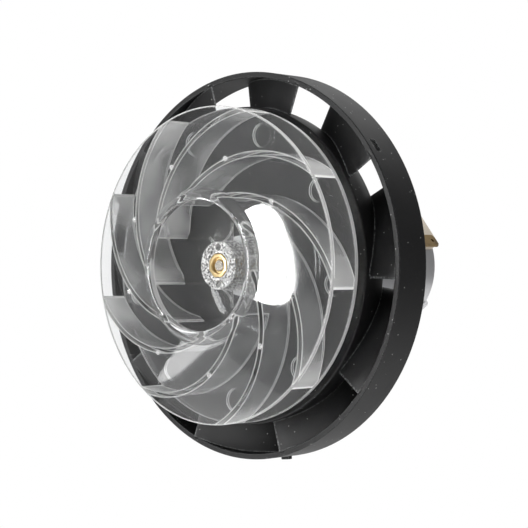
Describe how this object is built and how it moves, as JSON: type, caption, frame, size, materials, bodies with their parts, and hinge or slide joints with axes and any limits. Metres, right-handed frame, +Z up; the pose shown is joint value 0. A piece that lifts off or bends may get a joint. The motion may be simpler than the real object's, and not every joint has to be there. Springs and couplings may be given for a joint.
{
  "type": "vacuum cleaner motor unit",
  "caption": "Vacuum cleaner motor unit: clear closed fan wheel before a black vaned diffuser ring, driven by a brushed motor in die-cast brackets, with brass push-on tabs.",
  "frame": {"origin": "on the motor axis, in the plane of the rear face of the diffuser's rim", "axes": "-Y towards the air inlet, +Y towards the motor's rear end, +Z up, +X to the right as seen from the inlet"},
  "size_m": [0.1612, 0.1304, 0.1625],
  "materials": {
    "black_plastic": "fine-grained black moulding",
    "clear_plastic": "clear polished moulding, slightly grey over dark pieces",
    "brass": "plain brass, slightly dulled",
    "steel": "bright turned or ground steel",
    "bearing_steel": "ground and polished bearing steel",
    "die_cast": "fine matt die-cast surface",
    "lamination_steel": "edges of stacked sheets, lightly oiled",
    "copper": "bare copper, turned",
    "enamelled_wire": "varnished copper wire, bundled",
    "insulation": "off-white insulating board",
    "dark_insulation": "dark brown moulded insulator",
    "carbon": "dull grey-black carbon"
  },
  "bodies": {
    "motor_frame": {"diffuser": "black_plastic", "diffuser_screws": "steel", "front_bracket": "die_cast", "field_core": "lamination_steel", "field_coil_a": "enamelled_wire", "field_coil_b": "enamelled_wire", "field_insulator_front": "insulation", "field_insulator_rear": "insulation", "through_bolts": "steel", "rear_bracket": "die_cast", "brush_holder_screws": "steel", "preload_washer": "steel", "front_bearing_outer_ring": "bearing_steel", "front_bearing_shields": "steel", "rear_bearing_outer_ring": "bearing_steel", "rear_bearing_shields": "steel", "brush_tube_a": "brass", "brush_holder_a": "dark_insulation", "brush_spring_a": "steel", "terminal_a": "brass", "brush_tube_b": "brass", "brush_holder_b": "dark_insulation", "brush_spring_b": "steel", "terminal_b": "brass"},
    "rotor": {"impeller_shroud": "clear_plastic", "impeller_back_plate": "clear_plastic", "impeller_hub_insert": "brass", "shaft": "steel", "spacer_sleeve": "steel", "front_bearing_inner_ring": "bearing_steel", "rear_bearing_inner_ring": "bearing_steel", "shaft_insulator": "insulation", "armature_core": "lamination_steel", "armature_winding": "enamelled_wire", "commutator_hub": "dark_insulation", "commutator_bars": "copper"},
    "brush_a": {"carbon_brush_a": "carbon"},
    "brush_b": {"carbon_brush_b": "carbon"}
  },
  "joints": [
    {"name": "rotor_spin", "type": "hinge", "parent": "motor_frame", "child": "rotor", "pos_m": [0, 0, 0], "axis": [0, -1, 0], "continuous": true},
    {"name": "brush_a_slide", "type": "slide", "parent": "motor_frame", "child": "brush_a", "axis": [0.788, 0, 0.6157], "range_m": [0, 0.003], "stiffness_N_per_m": 300, "springref_m": -0.01, "deforming": ["brush_spring_a"]},
    {"name": "brush_b_slide", "type": "slide", "parent": "motor_frame", "child": "brush_b", "axis": [-0.788, 0, -0.6157], "range_m": [0, 0.003], "stiffness_N_per_m": 300, "springref_m": -0.01, "deforming": ["brush_spring_b"]}
  ]
}
